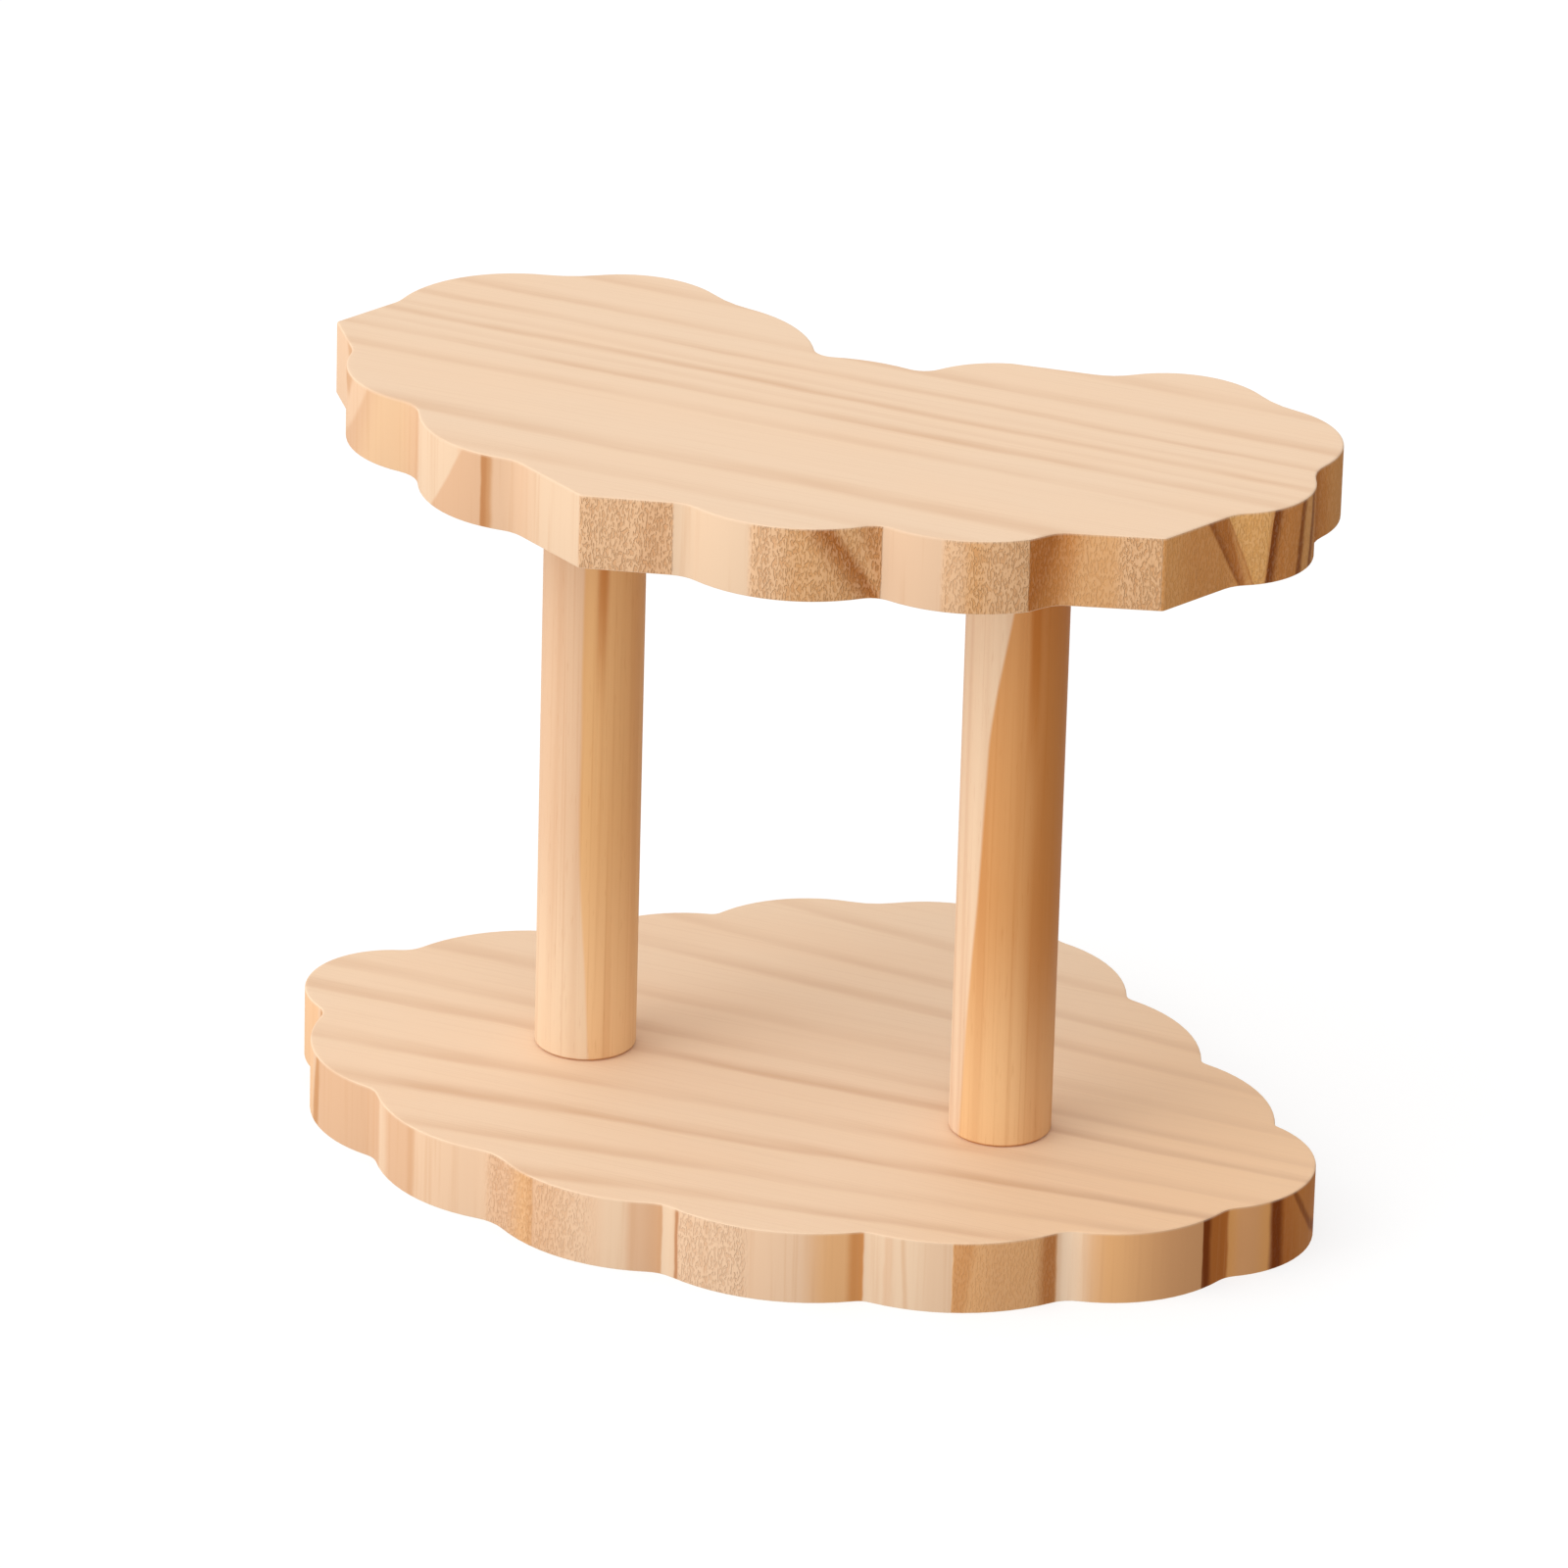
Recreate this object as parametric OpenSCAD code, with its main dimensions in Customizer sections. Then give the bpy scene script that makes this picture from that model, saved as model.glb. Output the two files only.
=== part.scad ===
// Two-tier display rack: two scalloped pine boards held apart by two round posts.
// The origin is on the underside of the base board, midway between the posts.
// X runs along the row of posts from left to right, Y to the back and Z up.

/* [Rack] */
// Height of the whole rack
rack_h = 186; // [150:2:260]
// Thickness of both boards, which are cut from one panel
board_t = 18; // [14:1:24]

/* [Base board] */
// Width of the base board over its side scallops
base_w = 256; // [220:2:320]
// Depth of the base board from front to back
base_d = 188; // [160:1:240]
// Distance from the front of the base board back to the row of posts
base_setback = 76; // [60:1:95]

/* [Top board] */
// Width of the top board from its left corner to its right scallop
top_w = 242; // [210:1:300]
// Depth of the top board from its front corner to its back scallops
top_d = 131; // [115:1:170]
// Distance from the front of the top board back to the row of posts
top_setback = 64; // [50:1:75]

/* [Posts] */
// Diameter of the round posts
post_d = 24; // [18:1:32]
// Distance between the centres of the posts
post_spacing = 106; // [80:2:130]
// Small bevel round both ends of each post
post_bevel = 0.6; // [0.2:0.1:1.5]

/* [Foot screws] */
// Outer diameter of the thread of the countersunk wood screws
screw_d = 4; // [3:0.5:5]
// Length of the screws from the face of the head to the tip
screw_l = 50; // [35:5:70]
// Length of the threaded stretch, with the tip
thread_l = 30; // [20:1:34]
// Diameter of the plain shank between the head and the thread
shank_d = 2.8; // [2:0.1:3]
// Diameter of the screw heads
head_d = 8; // [6.5:0.5:10]
// Depth of the screw heads below the underside of the base board
head_sink = 1; // [0.5:0.25:3]
// Length of the screw tips
tip_l = 5; // [3:0.5:7]
// Depth of the cross slot in the screw heads
slot_deep = 1.6; // [1:0.1:2]
// Width of the arms of the cross slot
slot_w = 0.9; // [0.6:0.1:1.2]
// Length of the arms of the cross slot, tip to tip
slot_l = 4.4; // [3:0.2:5]

/* [Head pins] */
// Diameter of the glued dowel pins in the tops of the posts
pin_d = 8; // [6:1:10]
// Length of the dowel pins
pin_l = 30; // [20:5:40]
// Wood left between the blind bores and the display face of the top board
pin_cover = 6; // [4:0.5:8]
// Number of glue flutes round each dowel pin
pin_flutes = 14; // [8:1:18]
// Radius of each glue flute
flute_r = 0.45; // [0.3:0.05:0.6]
// Bevel at both ends of each dowel pin
pin_bevel = 1; // [0.5:0.25:1.5]

/* [Clearances] */
// Gap between a pin or a screw and the wood round it
fit_gap = 0.1; // [0.05:0.05:0.3]
// Gap round the screws in the base board, so that the head pulls the joint tight
pass_gap = 0.25; // [0.1:0.05:0.5]
// Room left at the blind end of each bore
end_room = 0.5; // [0.3:0.1:2]

/* [Hidden] */
$fn = 96;
// Largest turn between two points of a scallop, in degrees
arc_step = 5;
// Largest turn between two points of a hollow, in degrees
hollow_step = 12;
// Rise share of the very flat arc that draws a straight side
flat_share = 0.001;
// Reach of a cutter past the face it opens
over = 1;

// Outlines, anticlockwise: x from the middle of the row of posts, y from the front, the rise
// of the arc to the next point as a share of its chord, and the radius of the hollow at the
// point. A rise of 0 is a straight side, and a radius of 0 a sawn corner.
base_round = [
  [-1.5, 4, 0.14, 9],
  [46, 11, 0.145, 5],
  [87.5, 32, 0.165, 8],
  [116.5, 59, 0.315, 7],
  [110.5, 105, 0.135, 2],
  [82.5, 129.5, 0.135, 3],
  [53.5, 155, 0.135, 4],
  [27, 178, 0.22, 6],
  [-21.5, 177, 0.175, 18],
  [-53.5, 155.5, 0.15, 3],
  [-78.5, 130.5, 0.145, 4],
  [-110.5, 104, 0.36, 7],
  [-114.5, 64, 0.195, 6],
  [-86, 30, 0.15, 6],
  [-47, 11.5, 0.15, 12]
];
// From the left corner
top_round = [
  [-122.5, 71, 0, 0],
  [-111.5, 56.5, 0.21, 8],
  [-84, 33.5, 0.19, 9],
  [-51, 12.5, 0, 9],
  [-29, 0, 0, 0],
  [-5.5, 6.5, 0.185, 9],
  [37.5, 15, 0.145, 6],
  [71.5, 22, 0, 0],
  [75.5, 28.5, 0, 7],
  [98.5, 36, 0, 0],
  [107.5, 57, 0.25, 9],
  [113.5, 88, 0.295, 12],
  [91.5, 121, 0.26, 24],
  [53, 121, 0, 14],
  [28, 118, 0.12, 0],
  [12.5, 103, 0.09, 6],
  [-14.5, 101.5, 0.16, 5],
  [-46, 122.5, 0.245, 26],
  [-84.5, 121, 0.215, 28],
  [-115, 89.5, 0, 7]
];

// Clear height between the boards, which is the length of the posts
tier_gap = rack_h - 2 * board_t;
// Height of the underside of the top board, where the posts end
top_z = board_t + tier_gap;
head_taper = (head_d - shank_d) / 2;
screw_tip_z = head_sink + screw_l;
pin_in_top = board_t - pin_cover - end_room;
pin_in_post = pin_l - pin_in_top;

function flat_point(p) = [p.x, p.y];

// Points on an arc round a centre, from p up to but not q, no more than step degrees apart
function arc_points(centre, p, q, step) =
  let (
    start = atan2(p.y - centre.y, p.x - centre.x),
    end = atan2(q.y - centre.y, q.x - centre.x),
    turn = (end - start + 540) % 360 - 180,
    steps = max(1, ceil(abs(turn) / step))
  )
  [
    for (i = [0:steps - 1])
      let (angle = start + turn * i / steps)
      centre + norm(p - centre) * [cos(angle), sin(angle)]
  ];

// Centre and radius of the scallop from p to q: an arc that bulges to the right of the way
// from p to q and rises by the share s of their chord. A straight side is a very flat arc.
function scallop(p, q, s) =
  let (
    share = max(s, flat_share),
    chord = norm(q - p),
    radius = chord * (1 / (8 * share) + share / 2),
    out = [q.y - p.y, p.x - q.x] / chord
  )
  [(p + q) / 2 + out * (share * chord - radius), radius];

// Centre of the circle of radius r that rests against two scallops a and b from outside
function hollow(a, b, r) =
  let (
    reach_a = a[1] + r,
    reach_b = b[1] + r,
    way = b[0] - a[0],
    far = norm(way),
    along = (far * far + reach_a * reach_a - reach_b * reach_b) / (2 * far),
    across = sqrt(max(0, reach_a * reach_a - along * along))
  )
  a[0] + (along * way + across * [way.y, -way.x]) / far;

// Point where a circle with its centre at c touches the scallop a
function touch(a, c) = a[0] + a[1] * (c - a[0]) / norm(c - a[0]);

// The whole outline: each drawn point is a corner or a hollow, and leads to the next by a
// scallop or a straight side
function outline(points) =
  let (
    n = len(points),
    arcs = [
      for (i = [0:n - 1])
        scallop(flat_point(points[i]), flat_point(points[(i + 1) % n]), points[i].z)
    ],
    hollows = [
      for (i = [0:n - 1])
        points[i][3] > 0 ? hollow(arcs[(i + n - 1) % n], arcs[i], points[i][3]) : []
    ],
    starts = [
      for (i = [0:n - 1])
        points[i][3] > 0 ? touch(arcs[i], hollows[i]) : flat_point(points[i])
    ],
    ends = [
      for (i = [0:n - 1])
        let (k = (i + 1) % n)
        points[k][3] > 0 ? touch(arcs[i], hollows[k]) : flat_point(points[k])
    ]
  )
  [
    for (i = [0:n - 1])
      each concat(
        points[i][3] > 0
          ? arc_points(hollows[i], ends[(i + n - 1) % n], starts[i], hollow_step)
          : [],
        arc_points(arcs[i][0], starts[i], ends[i], arc_step)
      )
  ];

// An outline stretched to its width and depth, with the row of posts brought to y = 0
function fitted(points, width, depth, setback) =
  let (
    path = outline(points),
    xs = [for (p = path) p.x],
    ys = [for (p = path) p.y],
    kx = width / (max(xs) - min(xs)),
    ky = depth / (max(ys) - min(ys))
  )
  [for (p = path) [kx * p.x, ky * (p.y - min(ys)) - setback]];

// Copies its children to both posts
module at_posts() {
  for (side = [-1, 1]) translate([side * post_spacing / 2, 0, 0]) children();
}

// Hole through the base board for one foot screw, sunk from the underside
module screw_hole() {
  translate([0, 0, -over]) cylinder(d = screw_d + 2 * pass_gap, h = board_t + 2 * over);
  translate([0, 0, -over]) cylinder(d = head_d + 2 * fit_gap, h = head_sink + over);
  translate([0, 0, head_sink])
    cylinder(d1 = head_d + 2 * fit_gap, d2 = shank_d + 2 * fit_gap, h = head_taper);
}

module base_board() {
  color("burlywood")
    difference() {
      linear_extrude(board_t) polygon(fitted(base_round, base_w, base_d, base_setback));
      at_posts() screw_hole();
    }
}

module top_board() {
  color("burlywood")
    translate([0, 0, top_z])
      difference() {
        linear_extrude(board_t) polygon(fitted(top_round, top_w, top_d, top_setback));
        at_posts()
          translate([0, 0, -over])
            cylinder(d = pin_d + 2 * fit_gap, h = board_t - pin_cover + over);
      }
}

// A round post that stands on the base board, bored for its screw below and its pin above
module post() {
  r = post_d / 2;
  difference() {
    translate([0, 0, board_t])
      rotate_extrude()
        polygon([
          [0, 0],
          [r - post_bevel, 0],
          [r, post_bevel],
          [r, tier_gap - post_bevel],
          [r - post_bevel, tier_gap],
          [0, tier_gap]
        ]);
    translate([0, 0, board_t - over])
      cylinder(d = screw_d + 2 * fit_gap, h = screw_tip_z + end_room - board_t + over);
    translate([0, 0, top_z - pin_in_post - end_room])
      cylinder(d = pin_d + 2 * fit_gap, h = pin_in_post + end_room + over);
  }
}

module left_post() {
  color("tan") translate([-post_spacing / 2, 0, 0]) post();
}

module right_post() {
  color("tan") translate([post_spacing / 2, 0, 0]) post();
}

// A countersunk wood screw, driven up through the base board, with its head at the bottom
module foot_screw() {
  translate([0, 0, head_sink])
    difference() {
      rotate_extrude()
        polygon([
          [0, 0],
          [head_d / 2, 0],
          [shank_d / 2, head_taper],
          [shank_d / 2, screw_l - thread_l],
          [screw_d / 2, screw_l - thread_l],
          [screw_d / 2, screw_l - tip_l],
          [0, screw_l]
        ]);
      for (turn = [0, 90])
        rotate(turn)
          translate([-slot_l / 2, -slot_w / 2, -over]) cube([slot_l, slot_w, slot_deep + over]);
    }
}

module left_foot_screw() {
  color("silver") translate([-post_spacing / 2, 0, 0]) foot_screw();
}

module right_foot_screw() {
  color("silver") translate([post_spacing / 2, 0, 0]) foot_screw();
}

// A fluted dowel pin, half in the post and half in the top board
module head_pin() {
  r = pin_d / 2;
  translate([0, 0, top_z - pin_in_post])
    difference() {
      rotate_extrude()
        polygon([
          [0, 0],
          [r - pin_bevel, 0],
          [r, pin_bevel],
          [r, pin_l - pin_bevel],
          [r - pin_bevel, pin_l],
          [0, pin_l]
        ]);
      for (i = [0:pin_flutes - 1])
        rotate(i * 360 / pin_flutes)
          translate([r, 0, -over]) cylinder(r = flute_r, h = pin_l + 2 * over, $fn = 24);
    }
}

module left_head_pin() {
  color("wheat") translate([-post_spacing / 2, 0, 0]) head_pin();
}

module right_head_pin() {
  color("wheat") translate([post_spacing / 2, 0, 0]) head_pin();
}

base_board();
top_board();
left_post();
right_post();
left_foot_screw();
right_foot_screw();
left_head_pin();
right_head_pin();
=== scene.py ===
# %% [markdown]
# A two-tier display rack in pine
#
# The rack is two boards sawn to a scalloped outline, held apart by two round posts. Screws
# hold the posts from below, and glued dowel pins hold the top board. The construction is
# already settled in a frame of solids, so this lesson is about the looks: softened edges,
# grain that runs through the wood, and plain studio light.

import math
from collections import namedtuple

import bmesh
import bpy
from mathutils import Matrix, Vector


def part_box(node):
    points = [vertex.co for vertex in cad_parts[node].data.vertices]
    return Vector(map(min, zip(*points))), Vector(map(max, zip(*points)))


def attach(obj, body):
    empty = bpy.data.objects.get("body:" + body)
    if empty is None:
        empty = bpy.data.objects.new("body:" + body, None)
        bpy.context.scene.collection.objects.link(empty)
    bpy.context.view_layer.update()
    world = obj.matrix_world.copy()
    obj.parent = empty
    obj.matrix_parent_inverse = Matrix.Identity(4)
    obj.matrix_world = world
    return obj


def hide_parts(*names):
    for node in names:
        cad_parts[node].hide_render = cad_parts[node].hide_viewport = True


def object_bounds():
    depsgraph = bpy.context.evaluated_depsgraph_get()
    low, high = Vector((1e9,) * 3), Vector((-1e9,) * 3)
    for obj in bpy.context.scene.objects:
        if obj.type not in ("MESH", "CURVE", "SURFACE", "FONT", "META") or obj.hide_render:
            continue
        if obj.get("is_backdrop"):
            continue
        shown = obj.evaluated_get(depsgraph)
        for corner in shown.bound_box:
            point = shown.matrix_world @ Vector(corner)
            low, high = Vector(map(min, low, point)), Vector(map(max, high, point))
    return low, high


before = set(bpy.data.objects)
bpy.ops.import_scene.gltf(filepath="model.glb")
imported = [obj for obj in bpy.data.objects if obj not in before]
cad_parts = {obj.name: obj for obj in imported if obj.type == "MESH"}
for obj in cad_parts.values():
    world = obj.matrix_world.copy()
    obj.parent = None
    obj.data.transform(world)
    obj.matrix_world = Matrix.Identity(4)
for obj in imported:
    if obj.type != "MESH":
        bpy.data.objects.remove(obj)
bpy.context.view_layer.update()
MM = 0.001
print("solids:", ", ".join(sorted(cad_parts)))

# %% [markdown]
# The places of the pieces
#
# The frame already holds every place. The boards and posts are read from it once, so that
# all the pieces and patterns below follow the solids and nothing has to be fitted by eye.

# %% Measure the solids
base_low, base_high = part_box("base_board")
top_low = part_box("top_board")[0]
board_thickness = base_high.z - base_low.z
post_places = {}
for side in ("left", "right"):
    low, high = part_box(side + "_post")
    post_places[side] = (low + high) / 2
print("boards are", round(board_thickness / MM, 1), "mm thick")

# %% [markdown]
# The camera
#
# The photograph was taken with a long lens from the front right, a little above. The camera
# is placed by its angle round the rack and its distance, which are easier to judge than
# three coordinates. The rack leans a little in the picture, so the camera is rolled by the
# same small angle.

# %% Place the camera
CAMERA_AZIMUTH = math.radians(22.5)
CAMERA_ELEVATION = math.radians(24)
CAMERA_ROLL = math.radians(1.58)
CAMERA_DISTANCE = 2.738
CAMERA_TARGET = Vector((-0.0048, 0.0022, 0.093))
CAMERA_LENS = 270

backwards = Vector((
    math.sin(CAMERA_AZIMUTH) * math.cos(CAMERA_ELEVATION),
    -math.cos(CAMERA_AZIMUTH) * math.cos(CAMERA_ELEVATION),
    math.sin(CAMERA_ELEVATION),
))
sideways = Vector((math.cos(CAMERA_AZIMUTH), math.sin(CAMERA_AZIMUTH), 0))
upwards = backwards.cross(sideways)
turn = Matrix((sideways, upwards, backwards)).transposed()
camera_data = bpy.data.cameras.new("camera")
camera_data.lens = CAMERA_LENS
camera = bpy.data.objects.new("camera", camera_data)
camera.matrix_world = (
    Matrix.Translation(CAMERA_TARGET + backwards * CAMERA_DISTANCE)
    @ turn.to_4x4()
    @ Matrix.Rotation(CAMERA_ROLL, 4, "Z")
)
bpy.context.scene.collection.objects.link(camera)
bpy.context.scene.camera = camera
print("camera is", CAMERA_DISTANCE, "m away with a", CAMERA_LENS, "mm lens")

# %% [markdown]
# A material and its nodes
#
# A finish is a tree of small nodes that ends in one surface shader. It could be clicked
# together in the shader editor. In a script the same few nodes come back in every finish,
# so short helpers add one node each and hand back its output.


# %% Start a material
def start_material(name):
    """A new material, its node tree and its surface shader."""
    material = bpy.data.materials.new(name)
    material.use_nodes = True
    tree = material.node_tree
    return material, tree, tree.nodes["Principled BSDF"]


def feed(tree, socket, value):
    """Links an output to a socket, or writes a plain value on it."""
    if isinstance(value, bpy.types.NodeSocket):
        tree.links.new(value, socket)
    elif value is not None:
        socket.default_value = value


print("materials begin with", start_material.__name__, "and", feed.__name__)


# %% [markdown]
# Numbers and colours in nodes
#
# Three kinds of node do most of the work. A math node works out one number, a map range
# node turns a number into a soft step, and a mix node lays one colour over another.


# %% Calculate, fade and paint
def calculate(tree, operation, a, b=None, c=None):
    """One math node."""
    node = tree.nodes.new("ShaderNodeMath")
    node.operation = operation
    for socket, value in zip(node.inputs, (a, b, c)):
        feed(tree, socket, value)
    return node.outputs[0]


def fade(tree, value, low, high, start=0.0, end=1.0):
    """A smooth step from start to end as value goes from low to high."""
    node = tree.nodes.new("ShaderNodeMapRange")
    node.interpolation_type = "SMOOTHSTEP"
    feed(tree, node.inputs["Value"], value)
    feed(tree, node.inputs["From Min"], low)
    feed(tree, node.inputs["From Max"], high)
    feed(tree, node.inputs["To Min"], start)
    feed(tree, node.inputs["To Max"], end)
    return node.outputs["Result"]


UNDER_COLOUR, OVER_COLOUR, MIXED_COLOUR = 6, 7, 2


def paint(tree, cover, under, over):
    """The colour under, covered by the colour over where cover is 1."""
    node = tree.nodes.new("ShaderNodeMix")
    node.data_type = "RGBA"
    feed(tree, node.inputs["Factor"], cover)
    feed(tree, node.inputs[UNDER_COLOUR], under)
    feed(tree, node.inputs[OVER_COLOUR], over)
    return node.outputs[MIXED_COLOUR]


print("node helpers:", calculate.__name__, fade.__name__, paint.__name__)


# %% [markdown]
# Patterns in millimetres
#
# Wood is a solid with a pattern all through it. A picture wrapped round a piece would
# stretch on its curves, so each pattern here is a solid one too, worked out from Object
# coordinates in millimetres of the real rack. A seed moves the noise by a different step
# along each axis, which keeps two patterns apart.


# %% Noise in millimetres
SEED_STEPS = (1.0, 0.7, 1.3)


def millimetres(tree, centre=(0, 0, 0)):
    """Object coordinates in millimetres from a centre: the vector, and x, y and z."""
    source = tree.nodes.new("ShaderNodeTexCoord")
    scale = tree.nodes.new("ShaderNodeVectorMath")
    scale.operation = "MULTIPLY_ADD"
    tree.links.new(source.outputs["Object"], scale.inputs[0])
    scale.inputs[1].default_value = (1 / MM, 1 / MM, 1 / MM)
    scale.inputs[2].default_value = [-c / MM for c in centre]
    parts = tree.nodes.new("ShaderNodeSeparateXYZ")
    tree.links.new(scale.outputs[0], parts.inputs[0])
    return scale.outputs[0], parts.outputs["X"], parts.outputs["Y"], parts.outputs["Z"]


def noise(tree, place, size, detail, seed, warp=0.0):
    """Smooth noise from 0 to 1. size is in millimetres along x, y and z."""
    mapping = tree.nodes.new("ShaderNodeMapping")
    mapping.inputs["Location"].default_value = [seed * step for step in SEED_STEPS]
    mapping.inputs["Scale"].default_value = [1 / s for s in size]
    tree.links.new(place, mapping.inputs["Vector"])
    texture = tree.nodes.new("ShaderNodeTexNoise")
    texture.inputs["Scale"].default_value = 1
    texture.inputs["Detail"].default_value = detail
    texture.inputs["Distortion"].default_value = warp
    tree.links.new(mapping.outputs["Vector"], texture.inputs["Vector"])
    return texture.outputs["Fac"]


print("patterns have", round(1 / MM), "units to the metre, and seeds step by", SEED_STEPS)

# %% [markdown]
# Grain, drift and relief
#
# The noise is used in three ways. Grain turns it into a share of the surface that some
# colour covers: least where the noise is below low, and most where it is above high. Drift
# turns it into a small shift, so that a drawn line wavers like a real one. Relief turns it
# into dents with a real depth. The numbers of each use are kept together under a name, and
# apart is added to the seed of the finish, so that no two of its patterns are alike.

# %% Uses of noise
Grain = namedtuple("Grain", "size detail apart low high least most", defaults=(0.0, 1.0))
Drift = namedtuple("Drift", "size detail apart reach")


def grain(tree, place, look, seed=0.0):
    """The noise of a look."""
    return noise(tree, place, look.size, look.detail, seed + look.apart)


def share(tree, texture, look):
    """What a look covers: its least where the noise is low, and its most where it is high."""
    return fade(tree, texture, look.low, look.high, look.least, look.most)


def grain_share(tree, place, look, seed=0.0):
    """The share of a look whose noise is used for nothing else."""
    return share(tree, grain(tree, place, look, seed), look)


def drift(tree, place, look, seed):
    """A shift in millimetres, by up to half the reach to either side."""
    texture = noise(tree, place, look.size, look.detail, seed + look.apart)
    return calculate(tree, "MULTIPLY_ADD", texture, look.reach, -look.reach / 2)


def relief(tree, shader, height, depth):
    """Bump with a depth in millimetres."""
    bump = tree.nodes.new("ShaderNodeBump")
    bump.inputs["Strength"].default_value = 1
    bump.inputs["Distance"].default_value = depth * MM
    tree.links.new(height, bump.inputs["Height"])
    tree.links.new(bump.outputs["Normal"], shader.inputs["Normal"])


print("uses of noise:", grain.__name__, drift.__name__, relief.__name__)

# %% [markdown]
# Growth rings
#
# On a planed face the growth rings show as soft tan lines along the board. They are planes
# through the wood, so one coordinate across the board decides where they lie. It leans a
# little, opens like a fan where the tree tapered, and wavers with two slow drifts. A wave
# texture would space the rings evenly. This board has its own rings, so each line is given
# by its place, its darkness and its width, and a colour ramp draws them all. A year's growth
# darkens slowly and ends at once, so a line is crisp in front and soft behind.

# %% Draw the rings
RING_FROM, RING_TO = -100, 130
CRISP_SIDE, SOFT_SIDE = 0.25, 0.75
RING_WAVER = Drift(size=(90, 30, 60), detail=1, apart=0, reach=3.0)
RING_RIPPLE = Drift(size=(20, 5, 30), detail=2, apart=3, reach=1.6)


def ring_position(tree, place, x, y, look):
    """Distance across the rings in millimetres at x = 0."""
    waver = drift(tree, place, RING_WAVER, look.seed)
    shift = calculate(tree, "ADD", waver, drift(tree, place, RING_RIPPLE, look.seed))
    across = calculate(tree, "MULTIPLY_ADD", x, look.lean, calculate(tree, "ADD", y, shift))
    opening = calculate(tree, "MULTIPLY_ADD", x, -look.fan, 1.0)
    return calculate(tree, "DIVIDE", across, opening)


def rings(tree, position, lines):
    """Share of late wood: each line is its place, its darkness and its width in mm."""
    ramp = tree.nodes.new("ShaderNodeValToRGB")
    ramp.color_ramp.interpolation = "EASE"
    stops = []
    for place, darkness, width in sorted(lines):
        stops.append((place - CRISP_SIDE * width, 0.0))
        stops.append((place, darkness))
        stops.append((place + SOFT_SIDE * width, 0.0))
    elements = ramp.color_ramp.elements
    while len(elements) < len(stops):
        elements.new(1.0)
    for element, (place, level) in zip(elements, stops):
        element.position = (place - RING_FROM) / (RING_TO - RING_FROM)
    for element, (place, level) in zip(elements, stops):
        element.color = (level, level, level, 1)
    from_start = calculate(tree, "SUBTRACT", position, RING_FROM)
    tree.links.new(calculate(tree, "DIVIDE", from_start, RING_TO - RING_FROM), ramp.inputs["Fac"])
    return ramp.outputs["Color"]


print("rings are drawn over", RING_TO - RING_FROM, "mm of wood")

# %% [markdown]
# The planed faces
#
# Sapwood of pine is a pale cream with a little peach in it, and the dense late wood of each
# year is tan. One colour under a wood texture would look like print. Here the colours are
# laid over one another as the eye finds them: soft clouds on the ground, a warmer right end
# of painted warm shade, the rings, and fine fibres that run between the rings.

# %% Colour of a planed face
CREAM = (0.84, 0.615, 0.43, 1)
WARM_CREAM = (0.875, 0.65, 0.455, 1)
PEACH = (0.86, 0.60, 0.40, 1)
WARM_SHADE_PEACH = (0.87, 0.55, 0.31, 1)
LATE_TAN = (0.68, 0.42, 0.25, 1)
LATE_COVER = 0.9
# The warmer right end of a face is painted warm shade.
WARM_SHADE_FROM, WARM_SHADE_TO = 20, 115
FACE_FIBRES = Grain(size=(34, 0.55, 0.55), detail=3, apart=11, low=0.46, high=0.75, most=0.14)
FACE_CLOUDS = Grain(size=(60, 24, 24), detail=2, apart=13, low=0.3, high=0.75, most=0.4)


def face_colour(tree, place, x, late, fibres, look):
    """Colour of the planed face, from the ground up to the fibres."""
    clouds = grain_share(tree, place, FACE_CLOUDS, look.seed)
    colour = paint(tree, clouds, look.ground, PEACH)
    # Painted warm shade towards the right end.
    warm = fade(tree, x, WARM_SHADE_FROM, WARM_SHADE_TO, 0.0, look.warm)
    colour = paint(tree, warm, colour, WARM_SHADE_PEACH)
    colour = paint(tree, calculate(tree, "MULTIPLY", late, LATE_COVER), colour, LATE_TAN)
    return paint(tree, share(tree, fibres, FACE_FIBRES), colour, LATE_TAN)


print("face colours go from", CREAM[:3], "to", LATE_TAN[:3])

# %% [markdown]
# The finish of a planed face
#
# Each ring comes and goes along its length, which a slow noise does. The late wood is a
# little smoother and stands up a little, because sanding wears the soft wood first, so the
# same rings that give the colour also steer the roughness and the relief.

# %% Finish of a planed face
FACE_GLOSS = 0.2
FACE_ROUGHNESS = 0.62
LATE_POLISH = 0.08
LATE_RISE = 0.6
FACE_RELIEF = 0.05
RING_PRESENCE = Grain(size=(55, 9, 40), detail=2, apart=7, low=0.25, high=0.7, least=0.35)


def board_face(name, look):
    """Finish of a sanded pine face."""
    material, tree, shader = start_material(name)
    place, x, y, _ = millimetres(tree)
    lines = rings(tree, ring_position(tree, place, x, y, look), look.lines)
    presence = grain_share(tree, place, RING_PRESENCE, look.seed)
    late = calculate(tree, "MULTIPLY", lines, presence)
    fibres = grain(tree, place, FACE_FIBRES, look.seed)
    feed(tree, shader.inputs["Base Color"], face_colour(tree, place, x, late, fibres, look))
    rough = calculate(tree, "MULTIPLY_ADD", late, -LATE_POLISH, FACE_ROUGHNESS)
    feed(tree, shader.inputs["Roughness"], rough)
    feed(tree, shader.inputs["Specular IOR Level"], FACE_GLOSS)
    height = calculate(tree, "MULTIPLY_ADD", late, LATE_RISE, fibres)
    relief(tree, shader, height, FACE_RELIEF)
    return material


print("a planed face has a relief of", FACE_RELIEF, "mm")
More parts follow.
